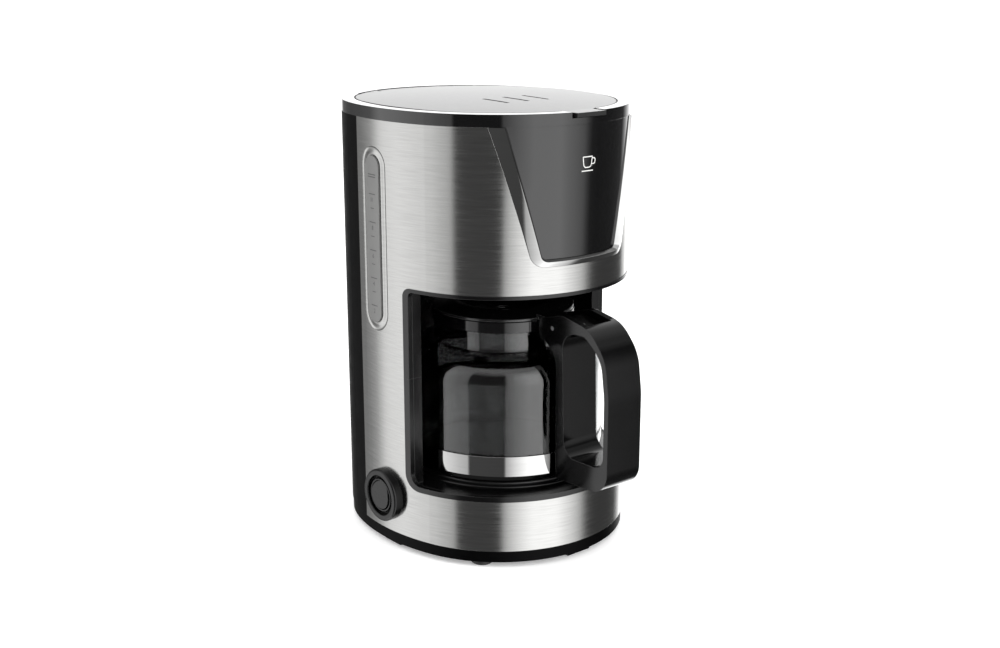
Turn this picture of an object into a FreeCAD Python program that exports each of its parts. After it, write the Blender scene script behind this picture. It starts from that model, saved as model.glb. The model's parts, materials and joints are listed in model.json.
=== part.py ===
"""Drip coffee maker with a glass carafe, as a parametric FreeCAD assembly in millimetres.

The body stands on +Z, its front looks along -Y, and its plan is an oval made of four tangent arcs.
Every helper below takes lengths as expressions of the sheet's names, in the body's own frame: the
oval's centre is x = y = 0 and the lower edge of the base is z = 0.
"""
import FreeCAD, Part
import math
import os
import re
import Sketcher

DIMENSIONS = {
    # frame: where the body's own origin lies in the part's frame
    "originX": 2.75,
    "originY": 17.75,
    "footHeight": 4,
    "lugDrop": 3,
    "lugHeight": 3.5,
    # body plan and heights
    "bodyHalfWidth": 91.5,
    "bodyHalfDepth": 105,
    "frontArcRadius": 89,
    "bodyHeight": 300,
    "baseHeight": 8,
    "skinTop": 292,
    "skinThick": 0.8,
    "rearSeam": 25,
    "shellWall": 2,
    "housingInset": 3.3,
    "fitGap": 0.2,
    # carafe bay and the window that it makes in the steel skin
    "windowEdge": 23.7,
    "windowFloor": 43.3,
    "windowTop": 184.3,
    "windowRadiusTop": 6,
    "windowRadiusLow": 12,
    "lipSide": 4.7,
    "lipLow": 3.7,
    "lipTop": 2.4,
    "lipDepth": 3.1,
    "lipProud": 0.3,
    "bayHalfWidth": 78.5,
    "bayCentre": -20,
    "deckThick": 2.4,
    "seamHeight": 122,
    # tapered black panel on the hood and the trim round it
    "panelTopHalf": 53.7,
    "panelLowHalf": 32.3,
    "panelLow": 207,
    "trimTopHalf": 62.5,
    "trimLowHalf": 39.1,
    "trimLow": 202.3,
    "panelCorner": 4,
    "trimCorner": 10,
    "panelTaper": 1.3,
    # top ring, lid and lid hinge
    "ringWidth": 9.5,
    "lidGap": 0.4,
    "lidThick": 2.6,
    "lidDome": 2.2,
    "lidSkirt": 294.2,
    "domeRadius": 1760,
    "hingeY": 88,
    "hingeZ": 296.3,
    "hingePinRadius": 1.5,
    "earInner": 26.5,
    "earWidth": 13.5,
    "earRadius": 3.4,
    "slotLength": 26,
    "slotWidth": 2.6,
    "slotPitch": 17.5,
    "slotCentreY": -33,
    "tabHalf": 12.5,
    # water tank and gauge
    "tankInset": 2.8,
    "tankWall": 1.6,
    "tankFloor": 130,
    "tankStep": 188,
    "tankTop": 281,
    "tankFront": 22,
    "gaugeY": 4.2,
    "gaugeLow": 155.7,
    "gaugeTop": 268.5,
    "gaugeWidth": 15,
    "gaugeBorder": 6,
    # switch
    "switchY": -2,
    "switchZ": 33.3,
    "bezelRadius": 18.5,
    "moatRadius": 14,
    "collarRadius": 11.6,
    "rockerRadius": 10.2,
    "bezelProud": 5.5,
    "rockerPivot": 93.2,
    "rockerFace": 96.6,
    "rockerTilt": 13,
    "trunnionRadius": 1.2,
    "trunnionEnd": 11.3,
    # brewing parts
    "chamberRadius": 60,
    "chamberTop": 268,
    "basketRadius": 58.8,
    "spigotRadius": 8,
    "valveStem": 3,
    "plateRadius": 66,
    "plateTop": 49.8,
    "tubeRadius": 3.6,
    "hoseRadius": 4.8,
    "tubeZ": 38.9,
    "hoseX": 31,
    "hoseY": 72,
    # mains inlet
    "inletBore": 4,
    "inletNeck": 5.9,
    "inletZ": 20,
    "glandFlange": 8.6,
    "glandStart": 96,
    "glandEnd": 106.5,
    # carafe
    "jugRadius": 69.6,
    "jugBase": 50.1,
    "jugWall": 2.2,
    "shoulderZ": 136.2,
    "shoulderRadius": 20,
    "neckRadius": 48.6,
    "rimZ": 157.4,
    "bandLow": 52.5,
    "bandTop": 69.5,
    "bandThick": 0.8,
    "collarLow": 149.8,
    "handleHalf": 15,
    "leverHalf": 9.8,
    "pinY": -88,
    "pinZ": 156.8,
}

doc = FreeCAD.newDocument("coffee_maker")
sheet = doc.addObject("Spreadsheet::Sheet", "dims")
for row, (alias, value) in enumerate(DIMENSIONS.items(), start=1):
    sheet.set(f"A{row}", alias)
    sheet.set(f"B{row}", str(value))
    sheet.setAlias(f"B{row}", alias)
doc.recompute()

SIDE_ARC = ("((bodyHalfWidth^2 + bodyHalfDepth^2 - 2*bodyHalfDepth*frontArcRadius)"
            " / (2*(bodyHalfWidth - frontArcRadius)))")
FAR = 400
parts = {}


def formula(text):
    """Turn a formula of sheet names into a FreeCAD expression."""
    return re.sub(r"[A-Za-z]\w*", lambda word: "dims." + word.group(0)
                  if word.group(0) in DIMENSIONS else word.group(0), str(text))


def number(text):
    """Value of a formula of sheet names now."""
    value = doc.getObject("dims").evalExpression(formula(text))
    return float(getattr(value, "Value", value))


def bind(item, **sizes):
    """Bind properties of an object to formulas of sheet names."""
    for name, text in sizes.items():
        item.setExpression(name, formula(text))


def place(item, x=0, y=0, z=0, rotation=None):
    """Bind the object's position, given in the body's own frame."""
    if rotation is not None:
        item.Placement.Rotation = rotation
    item.setExpression("Placement.Base.x", formula(f"originX + ({x})"))
    item.setExpression("Placement.Base.y", formula(f"originY + ({y})"))
    item.setExpression("Placement.Base.z", formula(f"footHeight + ({z})"))


def turn(axis, degrees):
    return FreeCAD.Rotation(FreeCAD.Vector(*axis), degrees)


UPRIGHT = {"X": turn((0, 1, 0), 90), "Y": turn((1, 0, 0), -90), "Z": turn((0, 0, 1), 0)}
FRONT_PLANE = turn((1, 0, 0), 90)
SIDE_PLANE = FreeCAD.Rotation(FreeCAD.Vector(0, 1, 0), FreeCAD.Vector(0, 0, 1),
                              FreeCAD.Vector(1, 0, 0), "ZXY")


def box(name, x, y, z, length, width, height):
    """Box from its lowest corner."""
    item = doc.addObject("Part::Box", name)
    bind(item, Length=length, Width=width, Height=height)
    place(item, x, y, z)
    return item


def mirrored_boxes(name, x, y, z, length, width, height):
    """The same box on both sides of the middle plane."""
    right = box(name + "_right", x, y, z, length, width, height)
    left = box(name + "_left", f"-({x}) - ({length})", y, z, length, width, height)
    return [left, right]


def rod(name, x, y, z, radius, height, axis="Z"):
    """Cylinder that runs from its start point along +X, +Y or +Z."""
    item = doc.addObject("Part::Cylinder", name)
    bind(item, Radius=radius, Height=height)
    place(item, x, y, z, UPRIGHT[axis])
    return item


def cut(name, base, *tools):
    """Base less every tool."""
    item = doc.addObject("Part::Cut", name)
    item.Base = base
    item.Tool = tools[0] if len(tools) == 1 else fuse(name + "_tools", *tools)
    return item


def fuse(name, *items):
    item = doc.addObject("Part::MultiFuse", name)
    item.Shapes = list(items)
    return item


def common(name, *items):
    item = doc.addObject("Part::MultiCommon", name)
    item.Shapes = list(items)
    return item


def group(name, items):
    """Separate solids that belong to one node."""
    item = doc.addObject("Part::Compound", name)
    item.Links = list(items)
    return item


def finish(label, item):
    """Name a sub-part and list it for export."""
    item.Label = label
    parts[label] = item
    return item


def fix(sketch, kind, text, *ends):
    """Add a dimension to a sketch and bind it to a formula."""
    index = sketch.addConstraint(Sketcher.Constraint(kind, *ends, number(text)))
    sketch.setExpression(f"Constraints[{index}]", formula(text))


def pin_point(sketch, geometry, end, x, y):
    """Hold one point of a sketch at x, y."""
    for kind, text, axis in (("DistanceX", x, -2), ("DistanceY", y, -1)):
        if abs(number(text)) < 1e-9:
            sketch.addConstraint(Sketcher.Constraint("PointOnObject", geometry, end, axis))
        else:
            fix(sketch, kind, text, -1, 1, geometry, end)


def draw_oval(sketch, inset):
    """Four tangent arcs: the body's plan moved inwards by inset."""
    front, side = number(f"frontArcRadius - ({inset})"), number(f"{SIDE_ARC} - ({inset})")
    rise, reach = number("bodyHalfDepth - frontArcRadius"), number(f"{SIDE_ARC} - bodyHalfWidth")
    tilt = math.atan2(rise, reach)
    quarter = math.pi / 2
    arcs = [((0, rise), front, tilt, 2 * quarter - tilt),
            ((reach, 0), side, 2 * quarter - tilt, 2 * quarter + tilt),
            ((0, -rise), front, 2 * quarter + tilt, 4 * quarter - tilt),
            ((-reach, 0), side, -tilt, tilt)]
    first = sketch.GeometryCount
    up = FreeCAD.Vector(0, 0, 1)
    for centre, radius, start, end in arcs:
        circle = Part.Circle(FreeCAD.Vector(*centre, 0), up, radius)
        sketch.addGeometry(Part.ArcOfCircle(circle, start, end), False)
    for step in range(4):
        after = first + (step + 1) % 4
        sketch.addConstraint(Sketcher.Constraint("Tangent", first + step, 2, after, 1))
        radius = "frontArcRadius" if step % 2 == 0 else SIDE_ARC
        fix(sketch, "Radius", f"{radius} - ({inset})", first + step)
    pin_point(sketch, first, 3, "0", "bodyHalfDepth - frontArcRadius")
    pin_point(sketch, first + 2, 3, "0", "frontArcRadius - bodyHalfDepth")


def draw_outline(sketch, corners):
    """Closed outline through corners (x, y, corner radius), each rounded where it has a radius."""
    spots = [FreeCAD.Vector(number(x), number(y), 0) for x, y, _ in corners]
    rounds = [number(radius) for _, _, radius in corners]
    count = len(corners)
    trims = []
    for k in range(count):
        before = (spots[k - 1] - spots[k]).normalize()
        after = (spots[(k + 1) % count] - spots[k]).normalize()
        half = before.getAngle(after) / 2
        trims.append((before, after, rounds[k] / math.tan(half) if rounds[k] > 0 else 0, half))
    lines = []
    for k in range(count):
        following = (k + 1) % count
        start = spots[k] + trims[k][1] * trims[k][2]
        end = spots[following] + trims[following][0] * trims[following][2]
        lines.append(sketch.addGeometry(Part.LineSegment(start, end), False))
    for k in range(count):
        x, y, radius = corners[k]
        arriving, leaving = lines[k - 1], lines[k]
        if rounds[k] <= 0:
            sketch.addConstraint(Sketcher.Constraint("Coincident", arriving, 2, leaving, 1))
            pin_point(sketch, leaving, 1, x, y)
            continue
        before, after, setback, half = trims[k]
        middle = (before + after).normalize() * (rounds[k] / math.sin(half))
        mouth = spots[k] + (before + after).normalize() * (rounds[k] / math.sin(half) - rounds[k])
        curve = Part.Arc(spots[k] + before * setback, mouth, spots[k] + after * setback)
        arc = sketch.addGeometry(curve, False)
        centre = spots[k] + middle
        turn_left = before.cross(after).z < 0
        first_end, last_end = (1, 2) if turn_left else (2, 1)
        if sketch.Geometry[arc].Center.distanceToPoint(centre) > 1e-6:
            raise ValueError("corner arc is misplaced in " + sketch.Name)
        sketch.addConstraint(Sketcher.Constraint("Tangent", arriving, 2, arc, first_end))
        sketch.addConstraint(Sketcher.Constraint("Tangent", arc, last_end, leaving, 1))
        fix(sketch, "Radius", radius, arc)
        corner = sketch.addGeometry(Part.Point(spots[k]), True)
        sketch.addConstraint(Sketcher.Constraint("PointOnObject", corner, 1, arriving))
        sketch.addConstraint(Sketcher.Constraint("PointOnObject", corner, 1, leaving))
        pin_point(sketch, corner, 1, x, y)


def flat_sketch(name, rotation=None, x=0, y=0, z=0):
    sketch = doc.addObject("Sketcher::SketchObject", name)
    place(sketch, x, y, z, rotation)
    return sketch


def extrude(name, sketch, ahead, behind="0", taper="0"):
    """Solid from a sketch, grown along the sketch's normal and against it."""
    item = doc.addObject("Part::Extrusion", name)
    item.Base = sketch
    item.DirMode = "Normal"
    item.Solid = True
    bind(item, LengthFwd=ahead, LengthRev=behind, TaperAngle=taper)
    return item


def oval_prism(name, inset, low, top, taper="0"):
    """The body's plan, moved inwards by inset, from z = low to z = top."""
    sketch = flat_sketch(name + "_plan", z=low)
    draw_oval(sketch, inset)
    return extrude(name, sketch, f"({top}) - ({low})", taper=taper)


def oval_shell(name, outer, inner, low, top):
    """Wall between two insets of the body's plan."""
    sketch = flat_sketch(name + "_plan", z=low)
    draw_oval(sketch, outer)
    draw_oval(sketch, inner)
    return extrude(name, sketch, f"({top}) - ({low})")


def bay_prism(name, half_width, low, top):
    """Space of the carafe bay: round at the back, straight sides, open to the front."""
    tower = rod(name + "_round", 0, "bayCentre", low, half_width, f"({top}) - ({low})")
    front = box(name + "_front", f"-({half_width})", f"bayCentre - {FAR}", low,
                f"2*({half_width})", FAR, f"({top}) - ({low})")
    return fuse(name, tower, front)


def behind(name, y, low=-50):
    """Half space behind y, as a large box."""
    return box(name, -FAR, y, low, 2 * FAR, FAR, 2 * FAR)


def before(name, y, low=-50):
    """Half space in front of y, as a large box."""
    return box(name, -FAR, f"({y}) - {FAR}", low, 2 * FAR, FAR, 2 * FAR)


def window_prism(name, side, low, top, radius_low, radius_top):
    """The bay's window seen from the side: it opens forwards from y = -(windowEdge + side)."""
    edge = f"-(windowEdge + ({side}))"
    sketch = flat_sketch(name + "_outline", SIDE_PLANE)
    draw_outline(sketch, [(-FAR, low, 0), (edge, low, radius_low), (edge, top, radius_top),
                          (-FAR, top, 0)])
    return extrude(name, sketch, FAR, FAR)


def tapered_prism(name, kind, grow=0, extra=0):
    """Tapered shield outline of the panel or the trim, seen from the front and grown all round."""
    slope = f"(({kind}TopHalf - {kind}LowHalf) / (skinTop - {kind}Low))"
    low_half = f"({kind}LowHalf + ({grow})*(1 - {slope}))"
    top_half = f"({kind}TopHalf + ({grow}) + ({extra})*{slope})"
    low, top = f"{kind}Low - ({grow})", f"skinTop + ({extra})"
    sketch = flat_sketch(name + "_outline", FRONT_PLANE)
    draw_outline(sketch, [(f"-{low_half}", low, f"{kind}Corner"), (low_half, low, f"{kind}Corner"),
                          (top_half, top, 0), (f"-{top_half}", top, 0)])
    return extrude(name, sketch, FAR)


def slot_prism(name, grow):
    """Upright gauge slot with round ends on the left side, grown by grow all round."""
    half = f"(gaugeWidth/2 + ({grow}))"
    sketch = flat_sketch(name + "_outline", SIDE_PLANE)
    draw_outline(sketch, [(f"gaugeY - {half}", f"gaugeLow - ({grow})", f"{half}*0.999"),
                          (f"gaugeY + {half}", f"gaugeLow - ({grow})", f"{half}*0.999"),
                          (f"gaugeY + {half}", f"gaugeTop + ({grow})", f"{half}*0.999"),
                          (f"gaugeY - {half}", f"gaugeTop + ({grow})", f"{half}*0.999")])
    return extrude(name, sketch, 0.01, FAR)


def turned(label, x, y, corners, axis="Z", z=0):
    """PartDesign body: an outline of (radius, height, corner radius) turned about its own axis."""
    body = doc.addObject("PartDesign::Body", label)
    place(body, x, y, z, {"Z": None, "X": turn((0, 1, 0), -90), "Y": turn((1, 0, 0), -90)}[axis])
    sketch = body.newObject("Sketcher::SketchObject", label + "_section")
    planes = [item for item in body.Origin.OriginFeatures if item.Role == "XZ_Plane"]
    sketch.AttachmentSupport = [(planes[0], "")]
    sketch.MapMode = "FlatFace"
    doc.recompute()
    draw_outline(sketch, corners)
    revolve = body.newObject("PartDesign::Revolution", label + "_turn")
    revolve.Profile = sketch
    revolve.ReferenceAxis = (sketch, ["V_Axis"])
    revolve.Angle = 360
    return body


def ring_corners(inner, outer, low, top):
    """Plain ring section."""
    return [(inner, low, 0), (outer, low, 0), (outer, top, 0), (inner, top, 0)]


def pipe(name, points, bend, radius, bore="0"):
    """Tube along straight runs joined by arcs of the bend radius, as one closed solid."""
    spots = [FreeCAD.Vector(number(f"originX + ({x})"), number(f"originY + ({y})"),
                            number(f"footHeight + ({z})")) for x, y, z in points]
    edges = []
    here = spots[0]
    for k in range(1, len(spots) - 1):
        back = (spots[k - 1] - spots[k]).normalize()
        on = (spots[k + 1] - spots[k]).normalize()
        half = back.getAngle(on) / 2
        setback = number(bend) / math.tan(half)
        start, end = spots[k] + back * setback, spots[k] + on * setback
        inward = (back + on).normalize()
        middle = spots[k] + inward * (number(bend) / math.sin(half) - number(bend))
        edges += [Part.LineSegment(here, start).toShape(), Part.Arc(start, middle, end).toShape()]
        here = end
    edges.append(Part.LineSegment(here, spots[-1]).toShape())
    path = Part.Wire(edges)

    def sweep(size):
        ring = Part.Circle(spots[0], spots[1] - spots[0], size)
        return path.makePipeShell([Part.Wire([ring.toShape()])], True, False)

    shape = sweep(number(radius))
    if number(bore) > 0:
        shape = shape.cut(sweep(number(bore)))
    item = doc.addObject("Part::Feature", name)
    item.Shape = shape
    item.Placement = FreeCAD.Placement()
    return item


# ---------------------------------------------------------------- base and shells

FEET = {"front_left": (-59, -68), "front_right": (59, -68), "rear_left": (-59, 68),
        "rear_right": (59, 68)}
BASE_SCREWS = [(-70, -46), (70, -46), (-70, 44), (70, 44)]
REAR_SCREWS = [(-30, 24), (30, 24)]
SCREW_RADIUS = 1.7
HOLE_SLACK = 0.3
THREAD_SLACK = 0.05


def base_plate():
    """Black tray that closes the underside, with four stand-off lugs and cooling slots."""
    tray = oval_prism("base_tray", 0.5, 0, "baseHeight")
    hollow = oval_prism("base_hollow", 3.1, 3, "baseHeight + 1")
    lugs = mirrored_boxes("base_lug_side", 79.5, -13, "-lugDrop", 8, 18, "lugHeight")
    lugs += [box("base_lug_front", -10, -101, "-lugDrop", 20, 7, "lugHeight"),
             box("base_lug_rear", -10, 94, "-lugDrop", 20, 7, "lugHeight")]
    holes = [rod("base_foot_hole_" + key, x, y, -1, 3, 6) for key, (x, y) in FEET.items()]
    for k, (x, y) in enumerate(BASE_SCREWS):
        holes.append(rod(f"base_screw_hole_{k}", x, y, -1, SCREW_RADIUS + HOLE_SLACK, 6))
        holes.append(rod(f"base_counterbore_{k}", x, y, -1, 3.7, 2.8))
    for k in range(7):
        holes.append(box(f"base_slot_{k}", -36 + 12 * k - 1.5, 10, -1, 3, 34, 6))
    finish("base_plate", cut("base_plate", fuse("base_solid", cut("base_shell", tray, hollow), *lugs),
                             *holes))


def feet():
    """Rubber feet with a peg that plugs into the base."""
    for key, (x, y) in FEET.items():
        name = "foot_" + key
        finish(name, turned(name, x, y, [
            (0, "-footHeight", 0), (7.5, "-footHeight", 1.2), (7.5, -0.02, 0), (2.9, -0.02, 0),
            (2.9, 4.2, 0.6), (0, 4.2, 0)]))


def base_screws():
    """Four screws that hold the base plate to the bosses of the lower housing."""
    screws = []
    for k, (x, y) in enumerate(BASE_SCREWS):
        head = rod(f"base_screw_head_{k}", x, y, 0.2, 3.4, 1.58)
        cross = box(f"base_screw_cross_{k}", f"{x} - 2", f"{y} - 0.4", 0, 4, 0.8, 0.9)
        shank = rod(f"base_screw_shank_{k}", x, y, 1.5, SCREW_RADIUS, 15)
        screws.append(fuse(f"base_screw_{k}", cut(f"base_screw_cap_{k}", head, cross), shank))
    finish("base_screws", group("base_screws", screws))


def bay_lining(name, low, top):
    """Wall of the carafe bay with the two narrow faces that look forwards."""
    wall = cut(name + "_wall", bay_prism(name + "_outer", "bayHalfWidth + shellWall", low, top),
               bay_prism(name + "_inner", "bayHalfWidth", f"{low} - 1", f"{top} + 1"))
    faces = mirrored_boxes(name + "_face", "bayHalfWidth + shellWall - 0.5",
                           "-(windowEdge + lipSide)", low, 20, "shellWall", f"({top}) - ({low})")
    edge = behind(name + "_edge", "-(windowEdge + lipSide)")
    limit = oval_prism(name + "_limit", "lipDepth + 0.1", low, top)
    return common(name, fuse(name + "_solid", wall, *faces), edge, limit)


def lower_housing():
    """Base drum, deck with the hole for the warming plate, and the lower half of the bay."""
    drum = oval_shell("lower_drum", "housingInset", "housingInset + shellWall", 3.02,
                      "windowFloor + lipLow - deckThick + 0.5")
    deck = cut("lower_deck", oval_prism("lower_deck_plan", "lipDepth + 0.1",
                                        "windowFloor + lipLow - deckThick",
                                        "windowFloor + lipLow"),
               rod("lower_plate_hole", 0, "bayCentre", 30, "plateRadius + 3.7", 30),
               *mirrored_boxes("lower_hose_hole", "hoseX - 7.5", 57.5, 30, 15, 24, 30))
    bosses = [rod(f"lower_boss_{k}", x, y, 3.02, 4.2, "windowFloor + lipLow - deckThick - 2.5")
              for k, (x, y) in enumerate(BASE_SCREWS)]
    bores = [rod(f"lower_bore_{k}", x, y, 2, SCREW_RADIUS + THREAD_SLACK, 16)
             for k, (x, y) in enumerate(BASE_SCREWS)]
    lining = bay_lining("lower_lining", "windowFloor + lipLow", "seamHeight")
    solid = fuse("lower_solid", drum, deck, lining, *bosses)
    switch_hole = rod("lower_switch_hole", -100, "switchY", "switchZ", 15.4, 25, "X")
    inlet_hole = rod("lower_inlet_hole", 0, 80, "inletZ", "inletNeck + 0.3", 30, "Y")
    bores += [rod(f"lower_rear_bore_{k}", x, 80, z, SCREW_RADIUS + THREAD_SLACK, 30, "Y")
              for k, (x, z) in enumerate(REAR_SCREWS)]
    finish("lower_housing", cut("lower_housing", solid, switch_hole, inlet_hole, *bores))


def upper_housing():
    """Upper half of the bay, its ceiling, the hood's inner wall and the brew chamber."""
    lining = bay_lining("upper_lining", "seamHeight + 0.02", "windowTop")
    cover = common("upper_deck", oval_prism("upper_deck_plan", "lipDepth + 0.1", "windowTop",
                                            "windowTop + deckThick"),
                   fuse("upper_deck_area",
                        bay_prism("upper_deck_bay", "bayHalfWidth + shellWall", "windowTop",
                                  "windowTop + deckThick"),
                        before("upper_deck_front", -24)))
    hood = common("upper_hood", oval_shell("upper_hood_wall", "housingInset",
                                           "housingInset + shellWall", "windowTop", 291.5),
                  before("upper_hood_front", -24))
    hood_open = cut("upper_hood_open", hood,
                    tapered_prism("upper_hood_window", "trim", 0.3, 5))
    chamber = cut("upper_chamber", rod("upper_chamber_outer", 0, "bayCentre", "windowTop",
                                       "chamberRadius + shellWall", "chamberTop - windowTop"),
                  rod("upper_chamber_inner", 0, "bayCentre", "windowTop + deckThick",
                      "chamberRadius", 200))
    solid = fuse("upper_solid", lining, cover, hood_open, chamber)
    finish("upper_housing", cut("upper_housing", solid,
                                rod("upper_valve_hole", 0, "bayCentre", 150, 14, 60)))


def steel_skin():
    """Brushed steel sheet round the front and sides, with the bay, panel, gauge and switch cut out."""
    sheet_wall = oval_shell("skin_wall", 0, "skinThick", "baseHeight", "skinTop")
    finish("steel_skin", cut(
        "steel_skin", sheet_wall, behind("skin_rear", "rearSeam"),
        window_prism("skin_window", 0, "windowFloor", "windowTop", "windowRadiusLow",
                     "windowRadiusTop"),
        tapered_prism("skin_shield", "trim", 0, 5),
        slot_prism("skin_gauge", "gaugeBorder"),
        rod("skin_switch_hole", -100, "switchY", "switchZ", 15.2, 25, "X")))


def bay_frame():
    """Dark lip that borders the bay, in two halves that meet at the housing seam."""
    for half, low, top in (("lower", 0, "seamHeight"), ("upper", "seamHeight + 0.02", 250)):
        name = f"bay_frame_{half}"
        wall = oval_shell(name + "_wall", "-lipProud", "lipDepth", low, top)
        area = window_prism(name + "_outer", 0, "windowFloor", "windowTop", "windowRadiusLow",
                            "windowRadiusTop")
        space = window_prism(name + "_inner", "lipSide", "windowFloor + lipLow",
                             "windowTop - lipTop", "windowRadiusLow - lipLow",
                             "windowRadiusTop - lipTop")
        finish(name, cut(name, common(name + "_solid", wall, area), space))


def rear_depth(x):
    """Distance back to the outer face of the rear cover at x."""
    return (number("bodyHalfDepth - frontArcRadius")
            + math.sqrt(number("frontArcRadius")**2 - x**2))


def rear_cover():
    """Black back with cooling slots, the cord inlet hole and two counterbored screw holes."""
    wall = common("rear_wall", oval_shell("rear_shell", 0, 2.4, "baseHeight + 0.1",
                                          "skinTop - 0.1"),
                  behind("rear_area", "rearSeam + fitGap"))
    holes = [rod("rear_inlet_hole", 0, 80, "inletZ", "inletNeck + 0.3", 40, "Y")]
    for row in range(6):
        for side, x in (("left", -40), ("middle", -11), ("right", 18)):
            holes.append(box(f"rear_slot_{side}_{row}", x, 80, 60 + 9 * row, 22, 30, 3))
    for k, (x, z) in enumerate(REAR_SCREWS):
        holes.append(rod(f"rear_screw_hole_{k}", x, 80, z, SCREW_RADIUS + HOLE_SLACK, 30, "Y"))
        holes.append(rod(f"rear_counterbore_{k}", x, rear_depth(x) - 1.4, z, 3.6, 20, "Y"))
    finish("rear_cover", cut("rear_cover", wall, *holes))


def rear_cover_screws():
    """Two screws that hold the rear cover to the base drum."""
    screws = []
    for k, (x, z) in enumerate(REAR_SCREWS):
        depth = rear_depth(x)
        screws.append(fuse(f"rear_screw_{k}",
                           rod(f"rear_screw_head_{k}", x, depth - 1.38, z, 3.2, 1.1, "Y"),
                           rod(f"rear_screw_shank_{k}", x, depth - 10, z, SCREW_RADIUS, 9, "Y")))
    finish("rear_cover_screws", group("rear_cover_screws", screws))


# ---------------------------------------------------------------- top ring, lid and panel

def top_ring():
    """Gloss black ring round the lid in one piece with the tapered front panel."""
    ring = oval_shell("ring_wall", 0, "ringWidth", "skinTop", "bodyHeight")
    panel_wall = cut("panel_wall", panel_core("panel_face", 0.3), panel_core("panel_back", 2.6))
    panel = common("panel_shield", panel_wall,
                   tapered_prism("panel_area", "panel", 0, 0.5))
    blocks = mirrored_boxes("ring_ear_block", "earInner", "hingeY", "hingeZ - earRadius",
                            "earWidth", 12, "2*earRadius")
    noses = [rod("ring_ear_nose_right", "earInner", "hingeY", "hingeZ", "earRadius", "earWidth", "X"),
             rod("ring_ear_nose_left", "-(earInner + earWidth)", "hingeY", "hingeZ", "earRadius",
                 "earWidth", "X")]
    ears = common("ring_ears", fuse("ring_ear_solids", *blocks, *noses),
                  oval_prism("ring_ear_limit", 4, 280, 310))
    relief = common("ring_relief", oval_prism("ring_relief_plan", 7.8, 290, 301),
                    box("ring_relief_area", -52, 66, 290, 104, 44, 20))
    recess = box("ring_finger_recess", -14, -110, 296.3, 28, 16.5, 10)
    bore = rod("ring_pin_bore", -45, "hingeY", "hingeZ", "hingePinRadius + 0.05", 90, "X")
    solid = fuse("ring_solid", cut("ring_open", ring, relief, recess), panel, ears)
    finish("top_ring", cut("top_ring", solid, bore))


def panel_core(name, inset):
    """Body plan that shrinks downwards a little, so the panel sinks into its trim."""
    sketch = flat_sketch(name + "_plan", turn((1, 0, 0), 180), z="skinTop + 0.5")
    draw_oval(sketch, inset)
    return extrude(name, sketch, "skinTop + 0.5 - panelLow + 2", taper="-panelTaper")


def panel_trim():
    """Satin metal border of the panel."""
    wall = oval_shell("trim_wall", -0.9, 4.6, "trimLow - 5", "skinTop - 0.05")
    outer = tapered_prism("trim_outer", "trim", -0.05)
    inner = tapered_prism("trim_inner", "panel", 0.05, 5)
    solid = cut("trim_solid", common("trim_block", wall, outer), inner)
    finish("panel_trim", solid)


def lid():
    """Domed lid with three steam slots, a finger tab and two hinge notches."""
    inset = "ringWidth + lidGap"
    blank = oval_prism("lid_blank", inset, "lidSkirt", 305)
    dome = doc.addObject("Part::Sphere", "lid_dome")
    bind(dome, Radius="domeRadius")
    place(dome, 0, 0, "bodyHeight + lidDome - domeRadius")
    inner_dome = doc.addObject("Part::Sphere", "lid_inner_dome")
    bind(inner_dome, Radius="domeRadius")
    place(inner_dome, 0, 0, "bodyHeight + lidDome - lidThick - domeRadius")
    hollow = common("lid_hollow", oval_prism("lid_hollow_plan", f"{inset} + 2.6", 290, 305),
                    inner_dome)
    shell = cut("lid_shell", common("lid_body", blank, dome), hollow)
    tab = box("lid_tab", "-tabHalf", -107, 296.8, "2*tabHalf", 14, 2.9)
    limit = box("lid_rib_space", -25.5, "hingeY - 4", 294.2, 51, 10, 5)
    rib = common("lid_rib", limit, oval_prism("lid_rib_limit", f"{inset} + 1", 290, 305))
    slots = [box(f"lid_slot_{k}", f"slotPitch*{k} - slotWidth/2", "slotCentreY - slotLength/2",
                 290, "slotWidth", "slotLength", 20) for k in (-1, 0, 1)]
    notches = mirrored_boxes("lid_notch", "earInner - 0.5", "hingeY - 3.9", 280, "earWidth + 1",
                             30, 30)
    bore = rod("lid_pin_bore", -40, "hingeY", "hingeZ", "hingePinRadius + 0.15", 80, "X")
    finish("lid", cut("lid", fuse("lid_solid", shell, tab, rib), *slots, *notches, bore))


def lid_hinge_pin():
    """Steel rod that the lid turns on."""
    finish("lid_hinge_pin", group("lid_hinge_pin", [
        rod("lid_hinge_rod", "-(earInner + earWidth)", "hingeY", "hingeZ", "hingePinRadius",
            "2*(earInner + earWidth)", "X")]))


# ---------------------------------------------------------------- gauge and switch

def gauge():
    """Border, window and rear gasket of the water gauge on the left side."""
    border_wall = oval_shell("gauge_border_wall", -0.2, 1.2, 140, 285)
    finish("gauge_surround", cut("gauge_surround",
                                 common("gauge_border", border_wall,
                                        slot_prism("gauge_border_area", "gaugeBorder - 0.05")),
                                 slot_prism("gauge_border_hole", 0.05)))
    window_wall = oval_shell("gauge_window_wall", -1.2, 1.2, 140, 285)
    finish("gauge_window", common("gauge_window", window_wall, slot_prism("gauge_pane", 0)))
    gasket_wall = oval_shell("gauge_gasket_wall", 1.25, 2.5, 140, 285)
    finish("gauge_gasket", cut("gauge_gasket",
                               common("gauge_gasket_block", gasket_wall,
                                      slot_prism("gauge_gasket_area", 4)),
                               slot_prism("gauge_gasket_hole", -2)))


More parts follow.
